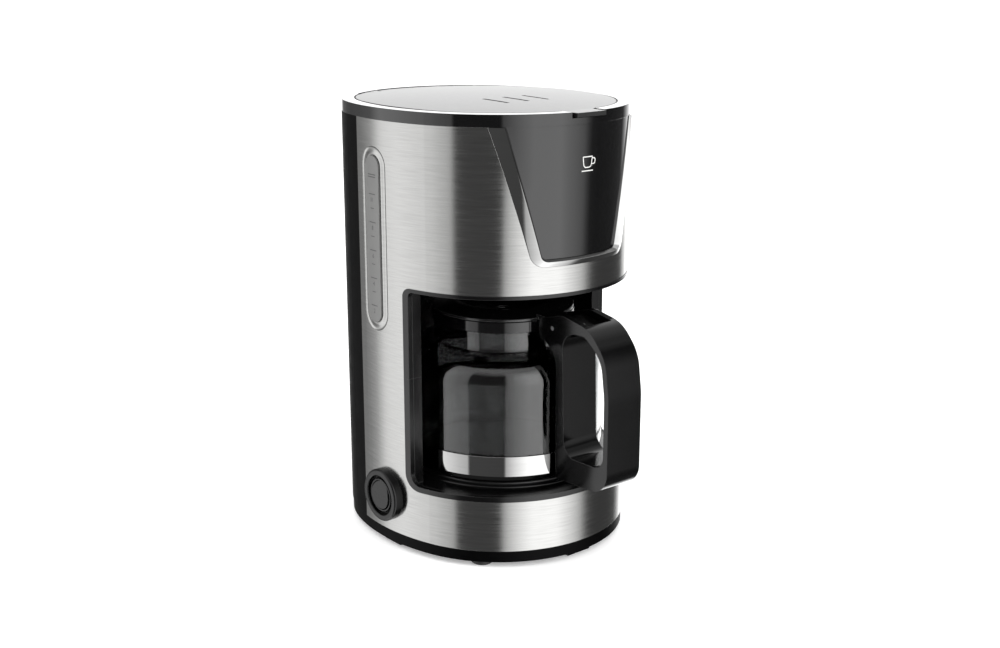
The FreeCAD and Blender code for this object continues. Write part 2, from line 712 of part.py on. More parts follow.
def switch_bezel():
    """Round black bezel with a moat and a collar that guides the rocker."""
    ring = turned("bezel_turn", 0, "switchY", [
        ("moatRadius", 84, 0), ("moatRadius + 0.9", 84, 0), ("moatRadius + 0.9", 89, 0),
        ("bezelRadius", 89, 0), ("bezelRadius", "bodyHalfWidth + bezelProud", 1.6),
        ("moatRadius", "bodyHalfWidth + bezelProud", 0.8)], "X", "switchZ")
    floor = turned("bezel_floor", 0, "switchY",
                   ring_corners("rockerRadius + 0.4", "moatRadius + 0.5", 90, 91.6), "X", "switchZ")
    collar = turned("bezel_collar", 0, "switchY",
                    ring_corners("rockerRadius + 0.4", "collarRadius", 86, 95.8), "X", "switchZ")
    sockets = rod("bezel_sockets", "-rockerPivot", "switchY - trunnionEnd - 0.1", "switchZ",
                  "trunnionRadius + 0.05", "2*trunnionEnd + 0.2", "Y")
    outside = cut("bezel_outside", ring, cut("bezel_skin_room", oval_prism(
        "bezel_skin_plan", -0.05, 0, 80), rod("bezel_barrel", -120, "switchY", "switchZ",
                                              "moatRadius + 1", 60, "X")))
    finish("switch_bezel", cut("switch_bezel", fuse("bezel_solid", outside, floor, collar),
                               sockets))


def switch_rocker():
    """Rocker with a ball-shaped body and two trunnions that turn in the bezel's collar."""
    ball = doc.addObject("Part::Sphere", "rocker_ball")
    bind(ball, Radius="rockerRadius")
    place(ball, "-rockerPivot", "switchY", "switchZ")
    slab = box("rocker_slab", "-rockerFace", -60, 0, 7.6, 120, 80)
    wedge = box("rocker_wedge", "-rockerFace - 20", -60, "switchZ + 2.4", 20, 120, 40)
    place(wedge, "-rockerFace - 20*cos(rockerTilt)", -60, "switchZ + 2.4 + 20*sin(rockerTilt)",
          turn((0, 1, 0), number("rockerTilt")))
    trunnions = rod("rocker_trunnions", "-rockerPivot", "switchY - trunnionEnd", "switchZ",
                    "trunnionRadius", "2*trunnionEnd", "Y")
    core = cut("rocker_face", common("rocker_core", ball, slab), wedge)
    finish("switch_rocker", fuse("switch_rocker", core, trunnions))


def switch_body():
    """Switch housing behind the bezel with three blade terminals."""
    can = rod("switch_can", -85.8, "switchY", "switchZ", "rockerRadius - 0.4", 17, "X")
    blades = [box(f"switch_blade_{k}", -69, f"switchY - 2.4 + {5 * k}", "switchZ - 0.4", 8, 4, 0.8)
              for k in (-1, 0, 1)]
    finish("switch_body", fuse("switch_body", can, *blades))


# ---------------------------------------------------------------- tank and water path

def water_tank():
    """Tank that wraps the brew chamber and reaches down behind the bay."""
    def block(name, grow, low, top):
        wall = f"({grow})*tankWall"
        front = f"-tankFront + {wall}"
        lower = cut(name + "_low", oval_prism(name + "_low_plan", f"tankInset + {wall}", low,
                                              "tankStep + 4"),
                    bay_prism(name + "_low_bay", f"bayHalfWidth + shellWall + 1 + {wall}", 0, 400),
                    before(name + "_low_front", front))
        upper = cut(name + "_high", oval_prism(name + "_high_plan", f"tankInset + {wall}",
                                               f"tankStep + {wall}", top),
                    rod(name + "_high_round", 0, "bayCentre", 0,
                        f"chamberRadius + shellWall + 2 + {wall}", 400),
                    before(name + "_high_front", front))
        return fuse(name, lower, upper)

    outer = block("tank_outer", 0, "tankFloor", "tankTop")
    inner = block("tank_inner", 1, "tankFloor + tankWall", "tankTop + 5")
    holes = [rod(f"tank_hole_{k}", f"{k}*hoseX", "hoseY", 120, "tubeRadius + 1.5", 20)
             for k in (-1, 1)]
    finish("water_tank", cut("water_tank", outer, inner, *holes))


def tank_grommets():
    """Rubber grommets that seal the two pipes through the tank floor."""
    low, top = "tankFloor - 2", "tankFloor + tankWall + 2"
    rings = []
    for k in (-1, 1):
        inner, neck, brim = "tubeRadius + 0.02", "tubeRadius + 1.48", "tubeRadius + 4"
        rings.append(turned(f"grommet_{k + 2}", f"{k}*hoseX", "hoseY", [
            (inner, low, 0), (brim, low, 0), (brim, "tankFloor - 0.02", 0),
            (neck, "tankFloor - 0.02", 0), (neck, "tankFloor + tankWall + 0.02", 0),
            (brim, "tankFloor + tankWall + 0.02", 0), (brim, top, 0), (inner, top, 0)]))
    finish("tank_grommets", group("tank_grommets", rings))


def water_path():
    """Inlet spigot, hoses, heater water tube, riser and spray arm, in the order the water takes."""
    bore = "tubeRadius - 1"
    hose_bore = "tubeRadius + 0.02"
    finish("inlet_spigot", turned("inlet_spigot", "-hoseX", "hoseY",
                                  ring_corners(bore, "tubeRadius", 108, 137)))
    finish("inlet_hose", pipe("inlet_hose", [("-hoseX", "hoseY", 126), ("-hoseX", "hoseY", "tubeZ"),
                                             ("-hoseX", 36, "tubeZ")], 14, "hoseRadius", hose_bore))
    finish("outlet_hose", pipe("outlet_hose", [("hoseX", 36, "tubeZ"), ("hoseX", "hoseY", "tubeZ"),
                                               ("hoseX", "hoseY", 126)], 14, "hoseRadius", hose_bore))
    finish("water_tube", pipe("water_tube", [("-hoseX", 48, "tubeZ"), ("-hoseX", -55, "tubeZ"),
                                             ("hoseX", -55, "tubeZ"), ("hoseX", 48, "tubeZ")],
                              "hoseX - 2", "tubeRadius", bore))
    finish("riser_tube", pipe("riser_tube", [("hoseX", "hoseY", 108), ("hoseX", "hoseY", 286),
                                             ("hoseX/2", "hoseY/2", 286)], 12, "tubeRadius", bore))
    finish("check_valve", turned("check_valve", "-hoseX", "hoseY", [
        (0, 90, 0), (2.4, 90, 0), (3.5, 93, 0), (3.5, 104, 0), (0, 104, 0)]))
    clips = [turned(f"hose_clip_{k}", x, "hoseY", ring_corners("hoseRadius + 0.05",
                                                               "hoseRadius + 1.2", 112, 118))
             for k, x in ((1, "-hoseX"), (2, "hoseX"))]
    finish("hose_clips", group("hose_clips", clips))


def spray_head():
    """Shower head over the filter, with a ring of outlet holes, and its socket for the riser."""
    head = rod("spray_disc", 0, "bayCentre", 277, 24, 5)
    holes = [rod(f"spray_hole_{k}", 16 * math.cos(k * math.pi / 4),
                 f"bayCentre + {16 * math.sin(k * math.pi / 4)}", 270, 1.6, 9.5) for k in range(8)]
    arm = pipe("spray_arm_tube", [("hoseX/2 - 0.02*31", "hoseY/2 - 0.02*72", 286),
                                  (0, -8, 286)], 5, "tubeRadius + 0.8", 0)
    neck = rod("spray_neck", 0, -12, 281.5, 5, 8)
    finish("spray_head", fuse("spray_head", cut("spray_plate", head, *holes), arm, neck))


def heater():
    """Tubular heater, the plate it warms, its bracket, and the parts that watch its heat."""
    finish("warming_plate", turned("warming_plate", 0, "bayCentre", [
        (0, 42.52, 0), (54, 42.52, 0), (54, 47, 0), (64, 47, 0), (64, 44, 0), ("plateRadius", 44, 0),
        ("plateRadius", "plateTop", 1.2), (60, "plateTop", 0), (58, "plateTop - 0.6", 0),
        (0, "plateTop - 0.6", 0)]))
    finish("deck_ring", turned("deck_ring", 0, "bayCentre", [
        ("plateRadius + 0.4", 44.1, 0), ("plateRadius + 3.5", 44.1, 0),
        ("plateRadius + 3.5", 47.4, 0.8), ("plateRadius + 2", 48.4, 0.6),
        ("plateRadius + 0.4", 47.6, 0.3)]))
    finish("heating_element", pipe("heating_element", [
        (-42, 24, "tubeZ"), (-42, -66, "tubeZ"), (42, -66, "tubeZ"), (42, 24, "tubeZ")], 40,
        "tubeRadius"))
    strap = box("heater_strap", -50, -28, 32.6, 100, 16, 2.65)
    hole = rod("heater_strap_hole", 0, "bayCentre", 30, SCREW_RADIUS + 0.2, 10)
    finish("heater_bracket", cut("heater_bracket", strap, hole))
    finish("bracket_screw", fuse("bracket_screw",
                                 rod("bracket_screw_head", 0, "bayCentre", 30.2, 3.6, 2.38),
                                 rod("bracket_screw_shank", 0, "bayCentre", 32, SCREW_RADIUS, 10.5)))
    finish("thermostat", group("thermostat", [rod("thermostat_can", 12, "bayCentre - 14",
                                                  37.1, 7, 5.4)]))
    finish("thermal_fuse", group("thermal_fuse", [rod("thermal_fuse_can", -9, 2, 39.9, 2.5, 18,
                                                      "X")]))
    block = box("terminal_block_body", 36, 48, 3.05, 30, 14, 12)
    wells = [rod(f"terminal_well_{k}", 36 + 5 + 10 * k, 55, 8, 2.2, 10) for k in range(3)]
    finish("terminal_block", cut("terminal_block", block, *wells))


def cord_inlet():
    """Grooved inlet gland in the rear wall, where the mains lead would enter."""
    finish("cord_gland", turned("cord_gland", 0, 0, [
        ("inletBore", "glandStart", 0), ("glandFlange", "glandStart", 0),
        ("glandFlange", "glandStart + 3.2", 0), ("inletNeck", "glandStart + 3.2", 0),
        ("inletNeck", "glandEnd - 1.45", 0), ("glandFlange", "glandEnd - 1.45", 0),
        ("glandFlange", "glandEnd", 0.6), ("inletBore", "glandEnd", 0.6)],
        "Y", "inletZ"))


# ---------------------------------------------------------------- filter and drip stop

def filter_parts():
    """Filter basket with its spigot, and the mesh cone that hangs in it."""
    finish("filter_basket", turned("filter_basket", 0, "bayCentre", [
        (4.2, 182, 0), ("spigotRadius", 182, 0), ("spigotRadius", 190, 0), (40, 196, 0),
        (50, 206, 3), ("basketRadius", 262, 0), ("basketRadius", "chamberTop + 0.1", 0),
        ("chamberRadius + 1.8", "chamberTop + 0.1", 0), ("chamberRadius + 1.8", 270.6, 0.6),
        ("basketRadius - 2", 270.6, 0.6), ("basketRadius - 2", 262, 0), (48.2, 207, 2),
        (39.2, 198, 0), ("spigotRadius - 1", 192.4, 0), (6.4, 190.2, 0), (4.2, 190.2, 0)]))
    finish("mesh_filter", turned("mesh_filter", 0, "bayCentre", [
        (0, 201, 0), (30, 201, 2), (53.4, 264, 0), (56, 264, 0), (56, 265.6, 0), (52.4, 265.6, 0),
        (29.2, 202.6, 1.4), (0, 202.6, 0)]))


def drip_stop():
    """Plunger that the carafe pushes up, its seal, and its return spring."""
    finish("drip_valve", turned("drip_valve", 0, "bayCentre", [
        (0, 164.6, 0), (5, 164.6, 1), (5, 168, 0), ("valveStem", 168, 0), ("valveStem", 194.9, 0),
        (5.4, 194.9, 0), (5.4, 197.4, 0.8), (0, 197.4, 0)]))
    finish("drip_seal", turned("drip_seal", 0, "bayCentre",
                               ring_corners("valveStem + 0.02", 5.6, 193.4, 194.88)))
    spring = doc.addObject("Part::Feature", "drip_spring")
    radius, pitch, height, wire = 4.6, 2.6, 12.4, 0.45
    start = FreeCAD.Vector(number("originX") + radius, number("originY + bayCentre"),
                           number("footHeight + 168.7"))
    helix = Part.makeHelix(pitch, height, radius)
    helix.translate(start - FreeCAD.Vector(radius, 0, 0))
    tangent = FreeCAD.Vector(0, radius * 2 * math.pi, pitch)
    section = Part.Wire([Part.Circle(start, tangent, wire).toShape()])
    spring.Shape = Part.Wire(helix.Edges).makePipeShell([section], True, True)
    spring.Placement = FreeCAD.Placement()
    finish("drip_spring", spring)


# ---------------------------------------------------------------- carafe

def carafe_glass():
    """Glass jug: wide body, rounded shoulder, straight neck."""
    inner = "jugRadius - jugWall"
    finish("carafe_glass", turned("carafe_glass", 0, "bayCentre", [
        (0, "jugBase", 0), ("jugRadius", "jugBase", 10), ("jugRadius", "shoulderZ", "shoulderRadius"),
        ("neckRadius", "shoulderZ", 0.8), ("neckRadius", "rimZ", 0.9),
        ("neckRadius - jugWall", "rimZ", 0.9),
        ("neckRadius - jugWall", "shoulderZ - jugWall", 2.5),
        (inner, "shoulderZ - jugWall", "shoulderRadius - jugWall"),
        (inner, "jugBase + jugWall", "10 - jugWall"), (0, "jugBase + jugWall", 0)]))


def carafe_fittings():
    """Steel band, neck collar with its lug, and the screw that holds the handle."""
    inner, outer = "jugRadius + 0.03", "jugRadius + bandThick"
    band = turned("band_turn", 0, "bayCentre", [
        (inner, 60.4, 0), (inner, "bandTop", 0), (outer, "bandTop", 0.35), (outer, "bandLow + 3", 0),
        ("jugRadius - 0.4", "bandLow", 0), ("jugRadius - 1.2", "bandLow", 0), (inner, 58.6, 0)])
    tongue = box("band_tongue", -8, "bayCentre - jugRadius - 3.9", 56, 16, 3.4, 10)
    finish("carafe_band", fuse("carafe_band", band, tongue))
    collar = turned("collar_turn", 0, "bayCentre", [
        ("neckRadius + 0.03", "collarLow", 0), ("neckRadius + 1.6", "collarLow", 0.5),
        ("neckRadius + 1.6", "rimZ", 0.4), ("neckRadius + 0.03", "rimZ", 0)])
    lug = cut("collar_lug", box("collar_lug_block", "-leverHalf", -84, 152.1, "2*leverHalf", 20, 3.9),
              rod("collar_lug_fit", 0, "bayCentre", 150, "neckRadius + 0.5", 20),
              rod("collar_lug_hole", 0, -79.5, 150, SCREW_RADIUS + 0.2, 10))
    finish("carafe_collar", fuse("carafe_collar", collar, lug))
    finish("handle_screw", fuse("handle_screw", rod("handle_screw_head", 0, -79.5, 156.02, 3.2, 1.5),
                                rod("handle_screw_shank", 0, -79.5, 147.5, SCREW_RADIUS, 8.6)))


def carafe_handle():
    """Closed-loop handle: an outline with a finger hole, opened at the top for the lid lever."""
    outline = flat_sketch("handle_outline", SIDE_PLANE)
    draw_outline(outline, [(-75.5, 149, 0), (-75.5, 161.5, 2), (-97, 167.5, 12), (-123, 163, 26),
                           (-138.5, 146, 30), (-142, 120, 60), (-142, 54.5, 15), (-93.4, 53, 1.5),
                           (-92.4, 70, 0), (-92.4, 141.5, 18)])
    block = extrude("handle_block", outline, "handleHalf", "handleHalf")
    hole = flat_sketch("handle_hole_outline", SIDE_PLANE)
    draw_outline(hole, [(-98, 156.5, 12), (-119, 157.5, 8), (-134.6, 145.5, 22), (-138.2, 120, 60),
                        (-138.2, 71.5, 9), (-107, 71, 8), (-100.6, 78, 8)])
    finger = extrude("handle_finger_hole", hole, FAR, FAR)
    pocket = box("handle_pocket", "-(leverHalf + 0.6)", -117.5, 152.05, "2*(leverHalf + 0.6)", 60, 40)
    tongue_room = box("handle_tongue_room", -8.1, -95, 55.9, 16.2, 5, 10.2)
    pin_bore = rod("handle_pin_bore", -20, "pinY", "pinZ", 1.55, 40, "X")
    screw_bore = rod("handle_screw_bore", 0, -79.5, 140, SCREW_RADIUS + 0.02, 20)
    finish("carafe_handle", cut("carafe_handle", block, finger, pocket, tongue_room, pin_bore,
                                screw_bore))
    finish("carafe_lid_pin", group("carafe_lid_pin", [
        rod("carafe_lid_rod", "-handleHalf + 0.3", "pinY", "pinZ", 1.5, "2*handleHalf - 0.6", "X")]))


def carafe_lid():
    """Funnel-shaped carafe lid with its arm, and the thumb lever that lifts it."""
    disc = turned("carafe_lid_disc", 0, "bayCentre", [
        (4, 155.8, 0), (28, 157.4, 1), (31.5, 162.5, 0.8), (34.5, 162.5, 1.5), (49.6, 159.4, 0.7),
        (49.6, 157.7, 0), ("neckRadius - jugWall - 0.4", 157.7, 0),
        ("neckRadius - jugWall - 0.4", 150, 0.5), ("neckRadius - jugWall - 2.2", 150, 0),
        ("neckRadius - jugWall - 2.2", 157, 0), (34, 160.2, 0), (29.5, 155.4, 0), (4, 153.8, 0)])
    arm = cut("carafe_lid_arm", box("carafe_lid_arm_block", "-leverHalf + 0.2", -90, 158.2,
                                    "2*leverHalf - 0.4", 24, 3),
              rod("carafe_lid_arm_room", 0, "bayCentre", 150, 46, 20))
    knuckle = rod("carafe_lid_knuckle", "-leverHalf + 0.2", "pinY", "pinZ", 3.6,
                  "2*leverHalf - 0.4", "X")
    bore = rod("carafe_lid_bore", -20, "pinY", "pinZ", 1.65, 40, "X")
    finish("carafe_lid", cut("carafe_lid", fuse("carafe_lid_solid", disc, arm, knuckle), bore))
    plate = box("thumb_plate", "-leverHalf + 0.2", -26, 0, "2*leverHalf - 0.4", 22.2, 2.4)
    place(plate, "-leverHalf + 0.2", "pinY - 25.5", 157.6, turn((1, 0, 0), 9))
    finish("thumb_lever", cut("thumb_lever", plate,
                              rod("thumb_knuckle_room", -20, "pinY", "pinZ", 3.62, 40, "X")))


base_plate()
feet()
base_screws()
lower_housing()
upper_housing()
steel_skin()
bay_frame()
rear_cover()
rear_cover_screws()
top_ring()
panel_trim()
lid()
lid_hinge_pin()
gauge()
switch_bezel()
switch_rocker()
switch_body()
water_tank()
tank_grommets()
water_path()
spray_head()
heater()
cord_inlet()
filter_parts()
drip_stop()
carafe_glass()
carafe_fittings()
carafe_handle()
carafe_lid()
doc.recompute()

broken = [item.Label for item in doc.Objects if {"Invalid", "Error"} & set(item.State)]
for label, item in parts.items():
    if item.Shape.isNull() or not item.Shape.isValid() or not item.Shape.Solids:
        broken.append(label)
if broken:
    raise SystemExit("broken: " + ", ".join(broken))
os.makedirs("parts", exist_ok=True)
for label, item in parts.items():
    item.Shape.exportStep(f"parts/{label}.step")
print(len(parts), "sub-parts written")
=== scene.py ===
import json
import math

import bmesh
import bpy
from mathutils import Matrix, Vector


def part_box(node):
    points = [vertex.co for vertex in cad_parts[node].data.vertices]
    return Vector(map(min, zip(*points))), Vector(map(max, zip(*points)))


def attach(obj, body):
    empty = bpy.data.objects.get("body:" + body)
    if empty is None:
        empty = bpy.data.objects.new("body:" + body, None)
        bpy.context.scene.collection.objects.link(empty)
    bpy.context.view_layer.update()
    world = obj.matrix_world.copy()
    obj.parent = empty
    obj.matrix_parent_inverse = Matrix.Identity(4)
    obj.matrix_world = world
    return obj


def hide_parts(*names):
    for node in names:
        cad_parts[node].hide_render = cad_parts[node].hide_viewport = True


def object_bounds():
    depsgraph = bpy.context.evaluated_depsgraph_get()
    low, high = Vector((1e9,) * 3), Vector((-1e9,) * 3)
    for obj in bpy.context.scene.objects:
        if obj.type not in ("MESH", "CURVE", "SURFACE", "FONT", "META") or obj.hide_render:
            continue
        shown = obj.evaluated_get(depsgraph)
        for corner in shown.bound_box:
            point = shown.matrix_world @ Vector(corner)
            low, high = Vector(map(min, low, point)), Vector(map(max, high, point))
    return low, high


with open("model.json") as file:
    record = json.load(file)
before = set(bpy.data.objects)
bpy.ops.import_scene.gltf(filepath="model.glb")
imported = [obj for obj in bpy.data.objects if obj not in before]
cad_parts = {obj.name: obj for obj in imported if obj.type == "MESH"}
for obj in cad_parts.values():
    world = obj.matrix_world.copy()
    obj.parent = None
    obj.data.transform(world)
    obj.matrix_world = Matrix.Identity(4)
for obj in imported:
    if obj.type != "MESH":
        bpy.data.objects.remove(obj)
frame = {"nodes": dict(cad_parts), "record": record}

CAD_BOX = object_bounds()
MM = 0.001

# ------------------------------------------------------------------ the body's own geometry
# The plan is an oval of four tangent arcs. Its middle is read from the ring round the lid, its
# lower edge lies 8 mm under the steel skin, and its arcs from the ring's width and depth.

ring_low, ring_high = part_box("top_ring")
SKIN_START = 8 * MM
base_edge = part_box("steel_skin")[0].z - SKIN_START
MIDDLE = Vector(((ring_low.x + ring_high.x) / 2, (ring_low.y + ring_high.y) / 2, base_edge))
HALF_WIDTH = (ring_high.x - ring_low.x) / 2
HALF_DEPTH = (ring_high.y - ring_low.y) / 2
FRONT_RADIUS = 89 * MM
FRONT_CENTRE = HALF_DEPTH - FRONT_RADIUS
SIDE_CENTRE = (FRONT_CENTRE ** 2 - (HALF_WIDTH - FRONT_RADIUS) ** 2) / (
    2 * (HALF_WIDTH - FRONT_RADIUS))
SIDE_RADIUS = HALF_WIDTH + SIDE_CENTRE


def on_front(x, z, lift):
    """Point at height z over the front arc, lift outside the skin; x is measured on the skin."""
    reach = (FRONT_RADIUS + lift) / FRONT_RADIUS
    depth = math.sqrt(FRONT_RADIUS ** 2 - x ** 2)
    return MIDDLE + Vector((x * reach, -FRONT_CENTRE - depth * reach, z))


def on_left(y, z, lift):
    """Point at height z over the left side arc, lift outside the skin; y is measured on the skin."""
    reach = (SIDE_RADIUS + lift) / SIDE_RADIUS
    depth = math.sqrt(SIDE_RADIUS ** 2 - y ** 2)
    return MIDDLE + Vector((SIDE_CENTRE - depth * reach, y * reach, z))


# ------------------------------------------------------------------ mesh helpers

def new_object(name, mesh, body):
    """Links a mesh as a piece that rides on a body."""
    piece = bpy.data.objects.new(name, mesh)
    bpy.context.scene.collection.objects.link(piece)
    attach(piece, body)
    return piece


def lofted(name, rings, body, closed_path=False, closed_section=True):
    """Mesh through rows of points: rings[i][j] is point j of section i."""
    mesh_maker = bmesh.new()
    rows = [[mesh_maker.verts.new(point) for point in ring] for ring in rings]
    count, width = len(rows), len(rows[0])
    for i in range(count if closed_path else count - 1):
        here, there = rows[i], rows[(i + 1) % count]
        for j in range(width if closed_section else width - 1):
            k = (j + 1) % width
            mesh_maker.faces.new((here[j], here[k], there[k], there[j]))
    if not closed_path and closed_section:
        mesh_maker.faces.new(rows[0])
        mesh_maker.faces.new(list(reversed(rows[-1])))
    bmesh.ops.recalc_face_normals(mesh_maker, faces=mesh_maker.faces)
    mesh = bpy.data.meshes.new(name)
    mesh_maker.to_mesh(mesh)
    mesh_maker.free()
    mesh.polygons.foreach_set("use_smooth", [True] * len(mesh.polygons))
    mesh.set_sharp_from_angle(angle=math.radians(32))
    return new_object(name, mesh, body)


def rounded_path(corners, steps):
    """Open path through corners (x, z, radius), with each inner corner turned into an arc."""
    path = [Vector(corners[0][:2])]
    for before, (x, z, radius), after in zip(corners, corners[1:], corners[2:]):
        corner = Vector((x, z))
        back = (Vector(before[:2]) - corner).normalized()
        ahead = (Vector(after[:2]) - corner).normalized()
        half = math.acos(max(-1, min(1, back.dot(ahead)))) / 2
        centre = corner + (back + ahead).normalized() * (radius / math.sin(half))
        start = corner + back * (radius / math.tan(half)) - centre
        end = corner + ahead * (radius / math.tan(half)) - centre
        turn = math.atan2(start.x * end.y - start.y * end.x, start.dot(end))
        for step in range(steps + 1):
            path.append(centre + Matrix.Rotation(turn * step / steps, 2) @ start)
    path.append(Vector(corners[-1][:2]))
    return path


def subdivide(path, counts):
    """Adds points on the runs of a path: counts gives the parts that each run is cut into."""
    out = []
    for start, end, parts in zip(path, path[1:], counts):
        out += [start.lerp(end, step / parts) for step in range(parts)]
    return out + [path[-1]]


# ------------------------------------------------------------------ materials

def node(tree, kind, **values):
    """Adds a shader node; inputs are given by name with _ for a space, or as attributes."""
    made = tree.nodes.new("ShaderNode" + kind)
    for key, value in values.items():
        name = key.replace("_", " ")
        if name in made.inputs:
            made.inputs[name].default_value = value
        else:
            setattr(made, key, value)
    return made


def scaled_noise(tree, place, scale, detail=3.0):
    """Noise over the object's own space, with a different number of features per metre each way."""
    mapping = node(tree, "Mapping", vector_type="POINT")
    mapping.inputs["Scale"].default_value = scale
    tree.links.new(place.outputs["Object"], mapping.inputs["Vector"])
    noise = node(tree, "TexNoise", Scale=1.0, Detail=detail, Roughness=0.55)
    tree.links.new(mapping.outputs["Vector"], noise.inputs["Vector"])
    return noise.outputs["Fac"]


def ranged(tree, value, low, high, from_low=0.3, from_high=0.7):
    """Maps a value, mostly between from_low and from_high, to low and high."""
    span = node(tree, "MapRange")
    span.clamp = False
    for socket, number in zip(("From Min", "From Max", "To Min", "To Max"),
                              (from_low, from_high, low, high)):
        span.inputs[socket].default_value = number
    tree.links.new(value, span.inputs["Value"])
    return span.outputs["Result"]


def finish_material(name, colour, rough, *, metallic=0.0, tint=0.08, rough_tint=0.05,
                    mottle=(60, 60, 60), grain=(1500, 1500, 1500), grain_depth=0.0,
                    edge=0.0, edge_gain=0.0, ior=1.46, anisotropic=0.0, transmission=0.0,
                    alpha=1.0, coat=0.0):
    """Procedural surface with mottled colour and gloss, fine grain, and rounded edges with a painted
    highlight.

    mottle and grain are features per metre along x, y and z; grain_depth and edge are in metres;
    edge_gain lightens the colour where the surface turns sharply, as a painted edge highlight.
    """
    material = bpy.data.materials.new(name)
    material.use_nodes = True
    tree = material.node_tree
    shader = tree.nodes["Principled BSDF"]
    shader.inputs["Metallic"].default_value = metallic
    shader.inputs["IOR"].default_value = ior
    shader.inputs["Anisotropic"].default_value = anisotropic
    shader.inputs["Transmission Weight"].default_value = transmission
    shader.inputs["Alpha"].default_value = alpha
    shader.inputs["Coat Weight"].default_value = coat
    shader.inputs["Coat Roughness"].default_value = 0.08
    place = node(tree, "TexCoord")
    patches = scaled_noise(tree, place, mottle)
    colour_mix = node(tree, "Mix", data_type="RGBA", blend_type="MULTIPLY")
    colour_mix.inputs["Factor"].default_value = 1.0
    colour_mix.inputs[6].default_value = (*colour, 1.0)
    tree.links.new(ranged(tree, patches, 1 - tint, 1 + tint), colour_mix.inputs[7])
    base = colour_mix.outputs[2]
    tree.links.new(ranged(tree, patches, rough - rough_tint, rough + rough_tint),
                   shader.inputs["Roughness"])
    normal = None
    if edge:
        bevel = node(tree, "Bevel", samples=4, Radius=edge)
        normal = bevel.outputs["Normal"]
    # Painted highlight: where the rounded edge's normal turns away from the surface's own, edge_gain
    # is added to the colour.
    if edge and edge_gain:
        geometry = node(tree, "NewGeometry")
        likeness = node(tree, "VectorMath", operation="DOT_PRODUCT")
        tree.links.new(normal, likeness.inputs[0])
        tree.links.new(geometry.outputs["Normal"], likeness.inputs[1])
        painted_edge_highlight = node(tree, "Mix", data_type="RGBA", blend_type="ADD")
        painted_edge_highlight.inputs[7].default_value = (edge_gain, edge_gain, edge_gain, 1.0)
        tree.links.new(ranged(tree, likeness.outputs["Value"], 0.0, 1.0, 0.999, 0.93),
                       painted_edge_highlight.inputs["Factor"])
        tree.links.new(base, painted_edge_highlight.inputs[6])
        painted_edge_highlight.clamp_factor = True
        base = painted_edge_highlight.outputs[2]
    tree.links.new(base, shader.inputs["Base Color"])
    if grain_depth:
        bump = node(tree, "Bump", Strength=1.0, Distance=grain_depth)
        tree.links.new(scaled_noise(tree, place, grain), bump.inputs["Height"])
        if normal:
            tree.links.new(normal, bump.inputs["Normal"])
        normal = bump.outputs["Normal"]
    if normal:
        tree.links.new(normal, shader.inputs["Normal"])
    if anisotropic:
        tangent = node(tree, "Tangent", direction_type="RADIAL", axis="Z")
        tree.links.new(tangent.outputs["Tangent"], shader.inputs["Tangent"])
        shader.inputs["Anisotropic Rotation"].default_value = 0.25
    return material


def woven_material(name, colour, pitch):
    """Metal gauze: crossed wires as bump, pitch in metres."""
    material = finish_material(name, colour, 0.35, metallic=1.0, tint=0.1)
    tree = material.node_tree
    shader = tree.nodes["Principled BSDF"]
    place = node(tree, "TexCoord")
    heights = []
    for direction in ("Z", "X", "Y"):
        wave = node(tree, "TexWave", bands_direction=direction, Scale=1 / pitch / 20)
        tree.links.new(place.outputs["Object"], wave.inputs["Vector"])
        heights.append(wave.outputs["Fac"])
    product = heights[0]
    for other in heights[1:]:
        joined = node(tree, "Math", operation="MULTIPLY")
        tree.links.new(product, joined.inputs[0])
        tree.links.new(other, joined.inputs[1])
        product = joined.outputs["Value"]
    bump = node(tree, "Bump", Strength=1.0, Distance=0.0003)
    tree.links.new(product, bump.inputs["Height"])
    tree.links.new(bump.outputs["Normal"], shader.inputs["Normal"])
    return material


